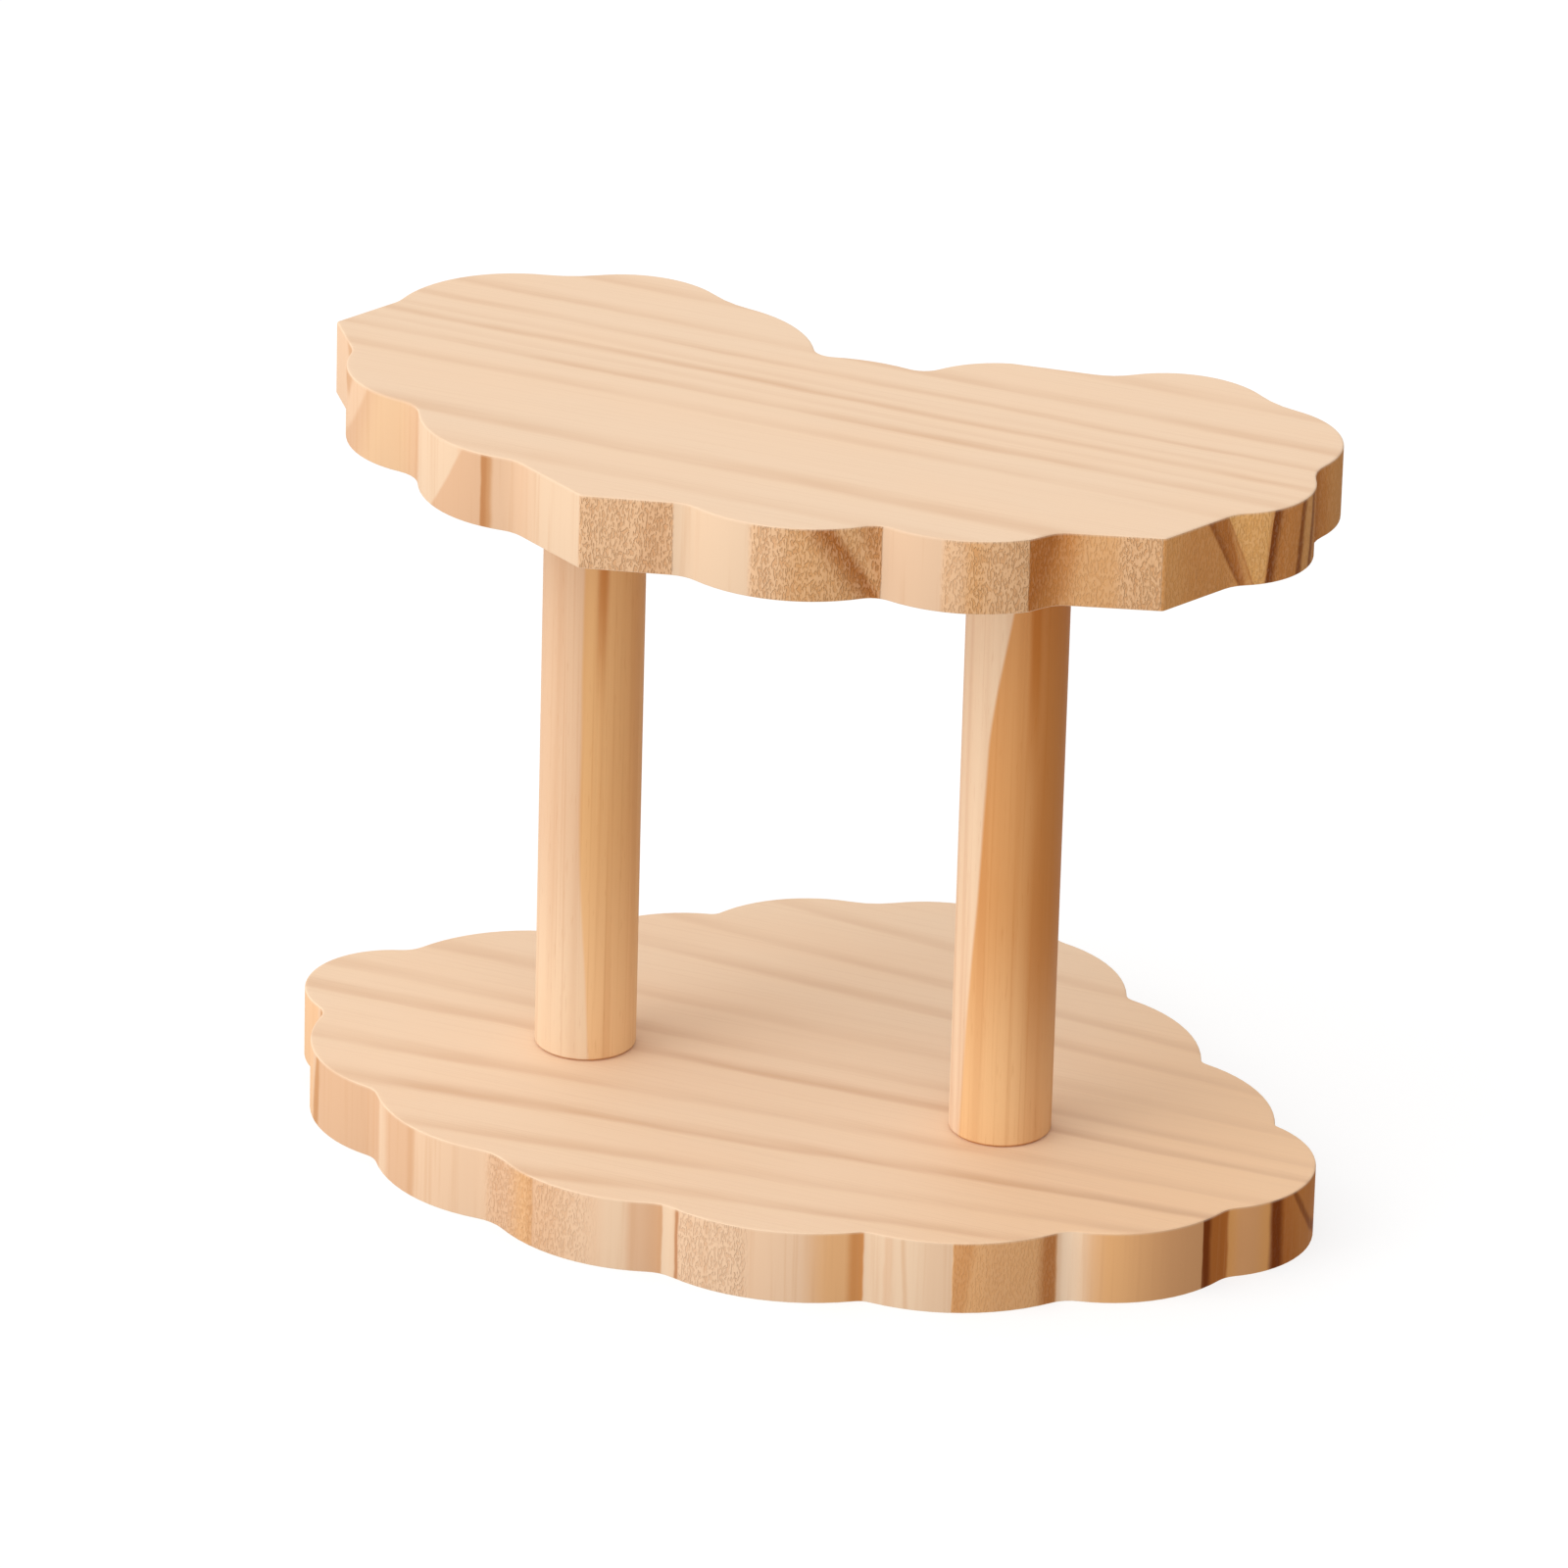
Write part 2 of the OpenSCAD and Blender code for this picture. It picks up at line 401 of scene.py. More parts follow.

# %% [markdown]
# The rings of the two boards
#
# Both boards look like one panel, but not like the same place in it. The rings of each were
# placed by looking along the middle of its face, from the back edge to the front. lean and
# fan turn and open them, ground is the colour under them, and the warm share is how much
# painted warm shade lies on the right end.

# %% Finish both faces
Face = namedtuple("Face", "lean fan ground warm lines seed")
BASE_RINGS = (
    (86.5, 0.5, 8), (66.5, 0.55, 8), (51, 0.6, 8), (29, 0.5, 9), (12, 0.55, 8),
    (1.2, 0.9, 7), (-18.5, 0.65, 9), (-34.3, 1.0, 8), (-51, 0.6, 8), (-66.5, 0.7, 8),
)
TOP_RINGS = (
    (56, 0.6, 8), (39.5, 0.65, 7), (28.5, 0.6, 5), (21.5, 0.3, 4), (16.5, 0.85, 5),
    (10.5, 0.25, 4), (4.4, 0.8, 6), (-6.7, 0.45, 7), (-35, 0.7, 10), (-50, 0.35, 10),
)
base_look = Face(lean=-0.02, fan=0.002, ground=WARM_CREAM, warm=0.6, lines=BASE_RINGS, seed=2.0)
top_look = Face(lean=0.037, fan=0.0, ground=CREAM, warm=0.0, lines=TOP_RINGS, seed=21.0)
base_face = board_face("pine_base_face", base_look)
top_face = board_face("pine_top_face", top_look)
print("face finishes:", base_face.name, top_face.name)

# %% [markdown]
# Patches on the sawn edges
#
# A scalloped outline crosses the grain at every angle, so its edge changes all the way
# round: smooth and pale where the saw ran with the fibres, pebbled and tan where it tore
# them, and dark where a band of late wood comes out. Noise alone gives an edge like any
# other. What gives this rack its character is listed as patches. They lie along a level
# line that runs across the sheets of growth rings, back to the right. Each has its start
# and end on that line in millimetres, how strongly it covers, its colour, how far each side
# leans over the thickness, how soft each side is, and how rough the wood is.

# %% Place a patch
SHEET_TURN = math.radians(22.5)
PATCH_WOBBLE = Drift(size=(4, 4, 7), detail=2, apart=19, reach=0.6)
Patch = namedtuple(
    "Patch", "start end cover colour lean soft rough", defaults=((0, 0), (0.4, 0.4), 0)
)


def slant(tree, x, y):
    """Distance along the level line across the sheets of growth rings."""
    back = calculate(tree, "MULTIPLY", y, math.sin(SHEET_TURN))
    return calculate(tree, "MULTIPLY_ADD", x, math.cos(SHEET_TURN), back)


def patch_side(tree, ahead, behind, soft):
    """1 where ahead is past behind, with a soft change between."""
    return fade(tree, calculate(tree, "SUBTRACT", ahead, behind), -soft, soft)


def patch_mask(tree, along, height, patch):
    """1 between the two upright or leaning sides of a patch."""
    left = calculate(tree, "MULTIPLY_ADD", height, patch.lean[0], patch.start)
    right = calculate(tree, "MULTIPLY_ADD", height, patch.lean[1], patch.end)
    inside = patch_side(tree, along, left, patch.soft[0])
    return calculate(tree, "MULTIPLY", inside, patch_side(tree, right, along, patch.soft[1]))


print("patches lie along a line turned by", round(math.degrees(SHEET_TURN), 1), "degrees")

# %% [markdown]
# Front and back of an edge
#
# Only the front of the edge shows in the photograph, so only the front has patches. The
# back is where y passes a limit, and at the right end, where more of the edge is seen, that
# limit lies further back. Behind it the rough places come from a noise that is stretched
# upwards, which gives upright bands and not blots.

# %% Ground of an edge
BACK_LIMIT, BACK_LIMIT_RIGHT = 12, 50
RIGHT_END_FROM, RIGHT_END_TO = 95, 110
BACK_SOFT = 2
EDGE_CREAM = (0.77, 0.52, 0.34, 1)
EDGE_PEACH = (0.70, 0.43, 0.26, 1)
ROUGH_TAN = (0.735, 0.395, 0.172, 1)
ROUGH_COVER = 0.7
EDGE_BANDS = Grain(size=(8, 8, 90), detail=1, apart=5, low=0.4, high=0.7, most=0.6)
EDGE_TORN = Grain(size=(17, 17, 150), detail=1, apart=9, low=0.52, high=0.56)


def behind_front(tree, x, y):
    """1 on the edge at the back, where no patch is listed."""
    limit = fade(tree, x, RIGHT_END_FROM, RIGHT_END_TO, BACK_LIMIT, BACK_LIMIT_RIGHT)
    return fade(tree, calculate(tree, "SUBTRACT", y, limit), -BACK_SOFT, BACK_SOFT)


def edge_ground(tree, place, behind, seed):
    """Colour of the edge without its patches, and how rough it is."""
    colour = paint(tree, grain_share(tree, place, EDGE_BANDS, seed), EDGE_CREAM, EDGE_PEACH)
    torn = grain_share(tree, place, EDGE_TORN, seed)
    rough = calculate(tree, "MULTIPLY", behind, torn)
    covered = calculate(tree, "MULTIPLY", rough, ROUGH_COVER)
    return paint(tree, covered, colour, ROUGH_TAN), rough


print("no patch lies behind y =", BACK_LIMIT, "mm, or", BACK_LIMIT_RIGHT, "at the right end")

# %% [markdown]
# Patches and pebbles
#
# The patches are painted over the ground one after another, as a sign painter would lay
# them. Where the saw tore the fibres, the wood is pebbled. Modelled pebbles would need far
# too many faces, so a very fine noise makes them, with brown gaps of painted shade between
# pale crests of painted highlight.

# %% Lay patches and pebbles
RAW_BROWN = (0.55, 0.215, 0.058, 1)
# The pale crest colour below is a painted highlight, and the gaps take RAW_BROWN as painted
# shade.
CREST_HIGHLIGHT = (0.84, 0.55, 0.34, 1)
GAP_FROM, GAP_TO, GAP_SHADE_COVER = 0.55, 0.33, 0.27
CREST_FROM, CREST_TO, CREST_HIGHLIGHT_COVER = 0.45, 0.72, 0.24
PEBBLE_SIZE = (0.42, 0.42, 1.2)
PEBBLE_APART, PEBBLE_WARP = 17, 0.5


def lay_patches(tree, along, height, front, patches, colour, rough):
    """The colour and roughness of the edge with all its patches."""
    for patch in patches:
        mask = calculate(tree, "MULTIPLY", patch_mask(tree, along, height, patch), front)
        covered = calculate(tree, "MULTIPLY", mask, patch.cover)
        colour = paint(tree, covered, colour, patch.colour)
        if patch.rough:
            torn_here = calculate(tree, "MULTIPLY", mask, patch.rough)
            rough = calculate(tree, "MAXIMUM", rough, torn_here)
    return colour, rough


def pebbles(tree, place, colour, rough, seed):
    """The colour with painted shade in the gaps and painted highlight on the crests of its rough
    places, and the gaps between them.
    """
    texture = noise(tree, place, PEBBLE_SIZE, 0, seed + PEBBLE_APART, PEBBLE_WARP)
    gaps = fade(tree, texture, GAP_FROM, GAP_TO)
    crests = fade(tree, texture, CREST_FROM, CREST_TO)
    # Painted shade in the gaps, then painted highlight on the crests.
    for part, cover, shade in ((gaps, GAP_SHADE_COVER, RAW_BROWN), (crests, CREST_HIGHLIGHT_COVER, CREST_HIGHLIGHT)):
        torn_part = calculate(tree, "MULTIPLY", rough, part)
        colour = paint(tree, calculate(tree, "MULTIPLY", torn_part, cover), colour, shade)
    return colour, gaps


print("pebbles are", PEBBLE_SIZE, "mm in size")

# %% [markdown]
# The finish of a sawn edge
#
# A band saw leaves the edge duller than the planed face. Upright streaks go over all the
# patches, and the top rim is a thin pale line of painted highlight along the rounded arris.
# The noise of the pebbles and the streaks also lifts the surface, so that light and colour
# agree.

# %% Finish of a sawn edge
STREAK_TAN = (0.58, 0.29, 0.13, 1)
# The thin pale line along the top rim is a painted highlight.
RIM_HIGHLIGHT_FROM, RIM_HIGHLIGHT_TO, RIM_HIGHLIGHT_COVER = 0.8, 0.3, 0.35
EDGE_GLOSS = 0.04
EDGE_ROUGHNESS = 0.62
TORN_DULLNESS = 0.2
STREAK_RISE = 0.15
EDGE_RELIEF = 0.22
EDGE_STREAKS = Grain(size=(1.3, 1.3, 60), detail=3, apart=0, low=0.5, high=0.75, most=0.22)


def board_edge(name, low, patches, seed):
    """Finish of a band-sawn, lightly sanded edge. patches are on the front edge."""
    material, tree, shader = start_material(name)
    place, x, y, z = millimetres(tree)
    height = calculate(tree, "SUBTRACT", z, low.z / MM)
    behind = behind_front(tree, x, y)
    front = calculate(tree, "SUBTRACT", 1.0, behind)
    along = calculate(tree, "ADD", slant(tree, x, y), drift(tree, place, PATCH_WOBBLE, seed))
    colour, rough = edge_ground(tree, place, behind, seed)
    colour, rough = lay_patches(tree, along, height, front, patches, colour, rough)
    streaks = grain(tree, place, EDGE_STREAKS, seed)
    colour = paint(tree, share(tree, streaks, EDGE_STREAKS), colour, STREAK_TAN)
    colour, gaps = pebbles(tree, place, colour, rough, seed)
    thickness = board_thickness / MM
    # Painted highlight: the cream of the face laid along the top rim.
    rim_highlight = fade(tree, height, thickness - RIM_HIGHLIGHT_FROM, thickness - RIM_HIGHLIGHT_TO)
    colour = paint(tree, calculate(tree, "MULTIPLY", rim_highlight, RIM_HIGHLIGHT_COVER), colour, CREAM)
    feed(tree, shader.inputs["Base Color"], colour)
    dullness = calculate(tree, "MULTIPLY_ADD", rough, TORN_DULLNESS, EDGE_ROUGHNESS)
    feed(tree, shader.inputs["Roughness"], dullness)
    feed(tree, shader.inputs["Specular IOR Level"], EDGE_GLOSS)
    raised = calculate(tree, "MULTIPLY", rough, calculate(tree, "SUBTRACT", 1.0, gaps))
    surface = calculate(tree, "MULTIPLY_ADD", streaks, STREAK_RISE, raised)
    relief(tree, shader, surface, EDGE_RELIEF)
    return material


print("a sawn edge has a relief of", EDGE_RELIEF, "mm")

# %% [markdown]
# The edge of the top board
#
# From the left the edge goes from pale scallops over several pebbled stretches to a row of
# dark stripes at the right end, where the saw cut steeply through the sheets of late wood.
# The open ends of the fibres drink the light there, and the wood looks golden to dark brown.
# These colours are partly painted shade too, darker and more saturated than the wood, where
# the edge turns away from the light.

# %% Patches of the top board
EDGE_LIGHT = (0.78, 0.56, 0.38, 1)
EDGE_ORANGE = (0.78, 0.51, 0.30, 1)
ROUGH_PALE = (0.79, 0.49, 0.28, 1)
BRIGHT_GOLD = (0.82, 0.44, 0.15, 1)
GOLDEN = (0.64, 0.30, 0.10, 1)
BROWN = (0.40, 0.125, 0.024, 1)
DARK_BROWN = (0.17, 0.035, 0.004, 1)
TOP_PATCHES = (
    Patch(-125, -103, 1, EDGE_CREAM),
    Patch(-104.4, -109.2, 0.6, STREAK_TAN, lean=(-0.2, 0.2), soft=(0.5, 0.5)),
    Patch(-108.3, -89.5, 1, EDGE_PEACH, lean=(0.36, 0.03), soft=(0.5, 0.8)),
    Patch(-104, -91.5, 0.9, EDGE_ORANGE, lean=(0.2, 0), soft=(3, 3)),
    Patch(-89.5, -80, 1, EDGE_LIGHT, soft=(0.6, 0.5)),
    Patch(-86.2, -74.5, 1, EDGE_PEACH, lean=(0.41, 0), soft=(0.4, 0.3)),
    Patch(-74.6, -72.0, 1, STREAK_TAN, soft=(0.25, 0.9)),
    Patch(-74.4, -73.3, 0.4, BROWN, soft=(0.3, 0.5)),
    Patch(-71.6, -64, 0.45, EDGE_PEACH, soft=(0.5, 4)),
    Patch(-62, -51.4, 1, EDGE_LIGHT, soft=(3, 0.3)),
    Patch(-51.4, -30.3, 1, ROUGH_PALE, soft=(0.25, 0.25), rough=1),
    Patch(-38, -31, 0.4, STREAK_TAN, lean=(0.1, 0), soft=(2, 2)),
    Patch(-30.3, -12.6, 0.9, EDGE_LIGHT, soft=(0.25, 1.5)),
    Patch(-12.6, 17, 1, ROUGH_PALE, soft=(0.9, 0.2), rough=1),
    Patch(-5, 17, 0.9, ROUGH_TAN, soft=(4.5, 0.2), rough=1),
    Patch(12.8, 17.2, 0.95, BROWN, lean=(-0.7, -0.62), soft=(4, 1.5), rough=0.4),
    Patch(16.8, 17.2, 0.5, BROWN, lean=(-0.25, 0), soft=(1.5, 0.2)),
    Patch(17, 31, 0.95, EDGE_CREAM, soft=(0.2, 1.5)),
    Patch(30.7, 38, 1, ROUGH_PALE, soft=(0.9, 2), rough=0.7),
    Patch(36, 50.2, 1, ROUGH_TAN, soft=(2, 0.2), rough=1),
    Patch(40, 50.2, 0.55, ROUGH_PALE, soft=(3, 0.2), rough=1),
    Patch(50.2, 80.1, 1, ROUGH_TAN, soft=(0.2, 0.2), rough=0.5),
    Patch(50.2, 58, 0.95, RAW_BROWN, lean=(0, 0.2), soft=(0.2, 3.5)),
    Patch(50.2, 52, 0.8, BROWN, lean=(0, 0.3), soft=(0.2, 2.5), rough=0.2),
    Patch(70, 80.1, 0.5, ROUGH_PALE, soft=(2, 0.2), rough=1),
    # From here to the right end the golden and brown are partly painted shade.
    Patch(80.1, 125, 1, GOLDEN, soft=(0.2, 0.4), rough=0.4),
    Patch(86, 97, 0.5, RAW_BROWN, lean=(-0.1, -0.3), soft=(3, 1)),
    Patch(97.8, 99.6, 0.85, BROWN, lean=(-0.42, -0.27), soft=(0.4, 0.7)),
    Patch(97.9, 98.4, 0.5, DARK_BROWN, lean=(-0.42, -0.38), soft=(0.3, 0.8)),
    Patch(101.2, 101.8, 0.6, BROWN, lean=(-0.37, -0.37), soft=(0.25, 0.3)),
    Patch(101.6, 103.6, 0.75, BRIGHT_GOLD, lean=(-0.37, 0.08), soft=(0.3, 0.2), rough=0.6),
    Patch(103.9, 112, 1, RAW_BROWN, lean=(0.1, 0.05), soft=(0.2, 0.5), rough=0.2),
    Patch(103.9, 105.7, 0.95, DARK_BROWN, lean=(0.1, 0.1), soft=(0.2, 1.2)),
    Patch(107, 107.6, 0.35, BROWN, lean=(0.06, 0.06), soft=(0.5, 0.7)),
    Patch(111, 112.2, 0.8, DARK_BROWN, lean=(0.06, 0.05), soft=(0.3, 0.5)),
    Patch(113.9, 114.7, 0.8, DARK_BROWN, lean=(0.03, 0.03), soft=(0.3, 0.4)),
    Patch(115.0, 125, 1, RAW_BROWN, soft=(0.3, 0.4), rough=0.3),
    Patch(115.4, 116.6, 0.6, BROWN, soft=(0.3, 0.6)),
    Patch(119.3, 125, 0.7, GOLDEN, lean=(-0.04, 0), soft=(1.5, 0.4), rough=0.3),
)
top_edge = board_edge("pine_top_edge", top_low, TOP_PATCHES, seed=5.0)
print(top_edge.name, "has", len(TOP_PATCHES), "patches")

# %% [markdown]
# The edge of the base board
#
# The same kind of panel, sawn in another place: the scallops on the left are smoother and
# paler, and the dark stripes at the right end are wider and stand upright. The patches use
# the colours of the top board, so that the two edges look like the same wood.

# %% Patches of the base board
BASE_PATCHES = (
    Patch(-118, -112.8, 1, ROUGH_PALE),
    Patch(-112.8, -111.4, 1, STREAK_TAN, lean=(0.04, 0.04), soft=(0.3, 0.5)),
    Patch(-111.2, -96.2, 1, EDGE_PEACH, soft=(0.5, 0.3)),
    Patch(-96.0, -94.6, 0.5, EDGE_LIGHT, soft=(0.3, 0.6)),
    Patch(-94.3, -87.5, 1, EDGE_PEACH, soft=(1.2, 0.8)),
    Patch(-89, -87.5, 0.35, STREAK_TAN, soft=(0.6, 0.4)),
    Patch(-86.8, -69.5, 1, EDGE_CREAM, soft=(0.6, 2)),
    Patch(-69.5, -62, 1, EDGE_PEACH, soft=(2, 2), rough=0.7),
    Patch(-63.5, -59, 0.8, ROUGH_TAN, soft=(2.5, 0.4), rough=0.6),
    Patch(-59, -37.5, 1, EDGE_PEACH, soft=(0.4, 2.5)),
    Patch(-60.2, -58.9, 0.45, STREAK_TAN, soft=(0.6, 0.3)),
    Patch(-58.6, -46, 0.2, ROUGH_PALE, soft=(0.6, 4), rough=0.6),
    Patch(-52, -37, 0.9, EDGE_CREAM, soft=(5, 1.5)),
    Patch(-43, -37.5, 0.7, EDGE_LIGHT, soft=(2, 1.5)),
    Patch(-36.8, -28.8, 1, EDGE_PEACH, soft=(1.0, 0.2)),
    Patch(-32, -28.8, 0.45, STREAK_TAN, soft=(2.5, 0.2)),
    Patch(-28.8, -25.9, 1, EDGE_LIGHT, soft=(0.2, 0.3)),
    Patch(-25.9, -25.1, 0.7, BROWN, soft=(0.25, 0.25)),
    Patch(-25.1, -9.5, 1, EDGE_CREAM, soft=(0.3, 1.5), rough=0.7),
    Patch(-9.5, 5, 0.8, EDGE_CREAM, soft=(1.5, 3)),
    Patch(6, 17.6, 0.9, ROUGH_TAN, soft=(4, 0.3)),
    Patch(14.2, 17.7, 0.8, RAW_BROWN, soft=(1.2, 0.4)),
    Patch(17.8, 38, 1, EDGE_LIGHT, soft=(0.4, 0.3)),
    Patch(22.3, 24.2, 0.5, EDGE_PEACH, soft=(0.4, 0.4)),
    Patch(27.0, 28.0, 0.35, STREAK_TAN, lean=(-0.06, -0.06), soft=(0.4, 0.5)),
    Patch(31, 38, 0.35, EDGE_PEACH, soft=(2, 0.3)),
    Patch(38, 61.8, 1, ROUGH_TAN, soft=(0.25, 0.5), rough=0.3),
    Patch(38.2, 41, 0.5, RAW_BROWN, lean=(0, 0.12), soft=(0.3, 1.2)),
    Patch(43, 61.8, 0.3, STREAK_TAN, soft=(5, 0.5)),
    Patch(58.3, 61.8, 0.8, BROWN, soft=(1.5, 0.5)),
    Patch(62.8, 69.5, 1, CREAM, soft=(0.8, 2)),
    Patch(69.5, 95.8, 1, ROUGH_TAN, soft=(5, 0.2)),
    Patch(82, 95.8, 0.9, STREAK_TAN, soft=(9, 0.2)),
    # From here to the right end the golden and brown are partly painted shade.
    Patch(95.8, 112, 1, GOLDEN, soft=(0.2, 0.8)),
    Patch(95.8, 101.6, 1, BROWN, soft=(0.2, 0.4)),
    Patch(95.8, 97.6, 1, DARK_BROWN, lean=(-0.01, -0.01), soft=(0.2, 0.7)),
    Patch(103.5, 109.5, 0.8, STREAK_TAN, soft=(1.5, 2)),
    Patch(111.8, 125, 1, BROWN, soft=(0.8, 0.3), rough=0.1),
    Patch(111.8, 114.6, 1, DARK_BROWN, lean=(-0.02, -0.02), soft=(0.8, 0.9)),
    Patch(118, 125, 0.6, RAW_BROWN, lean=(-0.1, 0), soft=(2.5, 0.3)),
    Patch(122.9, 123.9, 0.7, DARK_BROWN, lean=(-0.35, -0.35), soft=(0.3, 0.4)),
)
base_edge = board_edge("pine_base_edge", base_low, BASE_PATCHES, seed=31.0)
print(base_edge.name, "has", len(BASE_PATCHES), "patches")

# %% [markdown]
# A copy of a solid
#
# The frame's solids are loose triangles and are never changed. Each board and post starts
# as a copy whose points are merged and whose flat faces are joined, so that it is one
# closed skin that a bevel can follow. The finished piece then rides on the frame and stands
# for its solid.


# %% Copy a solid and make a piece
MERGE_REACH = 0.002 * MM
FLAT_ANGLE = math.radians(0.5)
SMOOTH_UP_TO = 25


def merged_copy(node):
    """The node's mesh as one closed skin with flat faces."""
    shape = bmesh.new()
    shape.from_mesh(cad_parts[node].data)
    bmesh.ops.remove_doubles(shape, verts=shape.verts, dist=MERGE_REACH)
    bmesh.ops.dissolve_limit(
        shape, angle_limit=FLAT_ANGLE, verts=shape.verts, edges=shape.edges
    )
    return shape


def make_piece(shape, name, finishes, node, smooth_up_to=SMOOTH_UP_TO):
    """Turns a skin into the piece that stands for a node."""
    mesh = bpy.data.meshes.new(name)
    shape.to_mesh(mesh)
    shape.free()
    for finish in finishes:
        mesh.materials.append(finish)
    mesh.polygons.foreach_set("use_smooth", [True] * len(mesh.polygons))
    mesh.set_sharp_from_angle(angle=math.radians(smooth_up_to))
    piece = bpy.data.objects.new(name, mesh)
    bpy.context.scene.collection.objects.link(piece)
    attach(piece, "root")
    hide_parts(node)
    print(name, "has", len(mesh.polygons), "faces")
    return piece


print("points within", MERGE_REACH / MM, "mm are merged")

# %% [markdown]
# Softened edges
#
# A sawn board has edges that would cut the hand, so its maker breaks them with sandpaper.
# Bevels in the mesh give an edge that catches the light from every side, which bump alone
# can't do. First the upright corners are rounded, then the rims of both faces. The bores
# for pins and screws stay sharp, as a drill leaves them, so edges near a post are left out.

# %% Find corners and rims
CORNER_ANGLE = math.radians(20)
BORE_REACH = 8 * MM
WALL_SLOPE, FLAT_SLOPE = 0.1, 0.9
bores = [Vector((p.x, p.y, 0)) for p in post_places.values()]


def outer_edges(shape):
    """The edges between two faces, away from the bores."""
    for edge in shape.edges:
        middle = (edge.verts[0].co + edge.verts[1].co) / 2
        flat_middle = Vector((middle.x, middle.y, 0))
        away = all((flat_middle - bore).length > BORE_REACH for bore in bores)
        if away and len(edge.link_faces) == 2:
            yield edge


def upright_corners(shape):
    """The upright edges where two stretches of the outline meet at an angle."""
    corners = []
    for edge in outer_edges(shape):
        rise = abs(edge.verts[0].co.z - edge.verts[1].co.z)
        if rise > board_thickness / 2 and edge.calc_face_angle() > CORNER_ANGLE:
            corners.append(edge)
    return corners


def face_rims(shape):
    """The edges between a level face and the upright wall."""
    rims = []
    for edge in outer_edges(shape):
        wall, level = sorted(abs(face.normal.z) for face in edge.link_faces)
        if wall < WALL_SLOPE and level > FLAT_SLOPE:
            rims.append(edge)
    return rims


print("corners sharper than", round(math.degrees(CORNER_ANGLE)), "degrees are rounded")

# %% [markdown]
# The two boards
#
# Smooth shading would run from the rounded rim far over the flat face. A narrow border is
# inset inside each rim, so that it stops there and the faces stay flat. Last, the level
# faces take the planed finish and all the rest takes the sawn one.

# %% Shape the boards
CORNER_ROUND = 0.5 * MM
RIM_ROUND = 0.45 * MM
RIM_BORDER = 0.3 * MM
ROUND_STEPS = 3
DEAD_FLAT = 0.999
FACE_SLOPE = 0.6


def soften(shape, edges, width):
    """Rounds edges in the mesh."""
    bmesh.ops.bevel(
        shape, geom=edges, offset=width, segments=ROUND_STEPS, affect="EDGES",
        profile=0.5, material=-1, clamp_overlap=True,
    )
    shape.normal_update()


def make_board(node, name, face_finish, edge_finish):
    """A scalloped board with rounded corners and broken rims."""
    shape = merged_copy(node)
    corners = upright_corners(shape)
    print(node, "has", len(corners), "corners")
    soften(shape, corners, CORNER_ROUND)
    soften(shape, face_rims(shape), RIM_ROUND)
    flat = [face for face in shape.faces if abs(face.normal.z) > DEAD_FLAT]
    bmesh.ops.inset_region(
        shape, faces=flat, thickness=RIM_BORDER, use_boundary=True, use_even_offset=True
    )
    shape.normal_update()
    for face in shape.faces:
        face.material_index = 0 if abs(face.normal.z) > FACE_SLOPE else 1
    return make_piece(shape, name, (face_finish, edge_finish), node)


make_board("base_board", "scalloped_base_board", base_face, base_edge)
make_board("top_board", "scalloped_top_board", top_face, top_edge)


# %% [markdown]
# The dark side of a post
#
# A dowel is cut along the grain, so its growth rings are flat sheets that run from end to
# end and come out as long upright lines. Where a darker sheet of heartwood meets the skin,
# it shows as a long curved border. The border is placed across the dowel and moved by its
# height. Past it the wood is darker, with one brown streak near the top, and its right side
# is browned with painted shade.

# %% Dark wood of a post
POST_BROWN = (0.47, 0.14, 0.014, 1)
BORDER_FROM, BORDER_TO = -0.4, 0.5
BORDER_WAVER = Drift(size=(30, 30, 55), detail=2, apart=0, reach=1.2)
# Painted shade browns the right side of the darker wood, half as much at the foot.
SHADE_SIDE_FROM, SHADE_SIDE_TO = 1.5, 7.5
SHADE_AT_FOOT = 0.5
STREAK_CORE, STREAK_RIM, STREAK_COVER = 0.4, 2.0, 0.7
STREAK_FROM, STREAK_TO = 102, 145


def past_border(tree, across, z, post):
    """0 before the border of the darker wood, and 1 past it."""
    climb = fade(tree, z, post.climb_from, post.climb_to, post.border, post.border + post.climb)
    edge_at = calculate(tree, "MULTIPLY_ADD", z, post.tilt, climb)
    beyond = calculate(tree, "SUBTRACT", across, edge_at)
    return fade(tree, beyond, BORDER_FROM, BORDER_TO)


def dark_wood(tree, across, z, up, post):
    """The darker wood with its streak, and painted shade on its right side."""
    dark = paint(tree, up, post.dark_foot, post.dark)
    # Painted shade: the right side turns brown, less at the foot.
    shaded = calculate(tree, "MULTIPLY", fade(tree, up, 0, 1, SHADE_AT_FOOT, 1), post.side)
    shaded = calculate(tree, "MULTIPLY", shaded, fade(tree, across, SHADE_SIDE_FROM, SHADE_SIDE_TO))
    dark = paint(tree, shaded, dark, POST_BROWN)
    near = calculate(tree, "ABSOLUTE", calculate(tree, "SUBTRACT", across, post.streak))
    beside = fade(tree, near, STREAK_CORE, STREAK_RIM, STREAK_COVER, 0)
    streak = calculate(tree, "MULTIPLY", beside, fade(tree, z, STREAK_FROM, STREAK_TO))
    return paint(tree, streak, dark, POST_BROWN)


print("the streak starts", STREAK_FROM, "mm above the table")

# %% [markdown]
# The finish of a post
#
# Over both woods go upright lines, broad sheets and short flecks, all as noise that is
# stretched along the dowel. The foot is paler than the rest. At both ends a thin darker line
# of dust and painted contact shade lies in the joint, which helps the eye to see that the
# post stands on the board and doesn't grow out of it.

# %% Wood of a post
FOOT_LIGHT, FOOT_DARK = 18, 85
